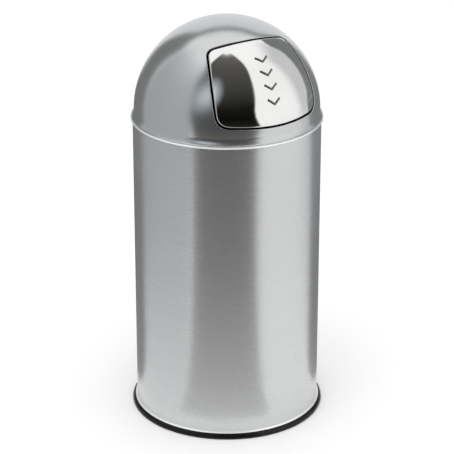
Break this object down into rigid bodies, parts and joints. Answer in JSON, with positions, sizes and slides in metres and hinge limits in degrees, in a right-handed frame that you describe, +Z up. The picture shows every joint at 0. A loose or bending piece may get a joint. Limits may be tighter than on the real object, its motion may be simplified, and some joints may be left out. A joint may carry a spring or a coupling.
{
  "type": "dome top waste receptacle",
  "caption": "Round brushed-steel waste bin with a black base ring, lift-off dome with a sprung push flap, and a lift-out liner with drop handles.",
  "frame": {"origin": "on the floor, on the upright axis of the bin", "axes": "+Z up, the push flap faces -Y, +X to the right as seen from behind the bin"},
  "size_m": [0.362, 0.362, 0.756],
  "materials": {
    "brushed_steel": "satin",
    "polished_steel": "polished",
    "galvanised_steel": "satin",
    "zinc_plated": "satin",
    "black_plastic": "satin",
    "white_nylon": "satin"
  },
  "bodies": {
    "casing": {"outer_casing": "brushed_steel", "base_ring": "black_plastic", "base_plate": "galvanised_steel"},
    "liner": {"liner_shell": "galvanised_steel", "liner_bottom": "galvanised_steel", "handle_bracket_right": "galvanised_steel", "handle_bracket_left": "galvanised_steel", "handle_rivet_right_front": "zinc_plated", "handle_rivet_right_rear": "zinc_plated", "handle_rivet_left_front": "zinc_plated", "handle_rivet_left_rear": "zinc_plated"},
    "right_handle": {"liner_handle_right": "zinc_plated"},
    "left_handle": {"liner_handle_left": "zinc_plated"},
    "dome": {"dome_shell": "brushed_steel", "dome_collar": "galvanised_steel", "hinge_bracket_right": "zinc_plated", "hinge_bracket_left": "zinc_plated", "hinge_rod": "zinc_plated", "stop_rod": "zinc_plated", "hinge_clip_right": "zinc_plated", "hinge_clip_left": "zinc_plated", "stop_clip_right": "zinc_plated", "stop_clip_left": "zinc_plated", "return_spring_right": "zinc_plated", "return_spring_left": "zinc_plated"},
    "flap": {"flap_skin": "polished_steel", "flap_ear_right": "zinc_plated", "flap_ear_left": "zinc_plated", "hinge_bush_right": "white_nylon", "hinge_bush_left": "white_nylon"}
  },
  "joints": [
    {"name": "liner_lift", "type": "slide", "parent": "casing", "child": "liner", "axis": [0, 0, 1], "range_m": [0, 0.565]},
    {"name": "dome_lift", "type": "slide", "parent": "liner", "child": "dome", "axis": [0, 0, 1], "range_m": [0, 0.25]},
    {"name": "flap_swing", "type": "hinge", "parent": "dome", "child": "flap", "pos_m": [0, -0.0579, 0.704], "axis": [1, 0, 0], "range_deg": [0, 75], "stiffness_Nm_per_rad": 0.25, "springref_deg": -80.21},
    {"name": "right_handle_swing", "type": "hinge", "parent": "liner", "child": "right_handle", "pos_m": [0.1497, 0, 0.52], "axis": [0, 1, 0], "range_deg": [0, 180]},
    {"name": "left_handle_swing", "type": "hinge", "parent": "liner", "child": "left_handle", "pos_m": [-0.1497, 0, 0.52], "axis": [0, -1, 0], "range_deg": [0, 180]}
  ]
}
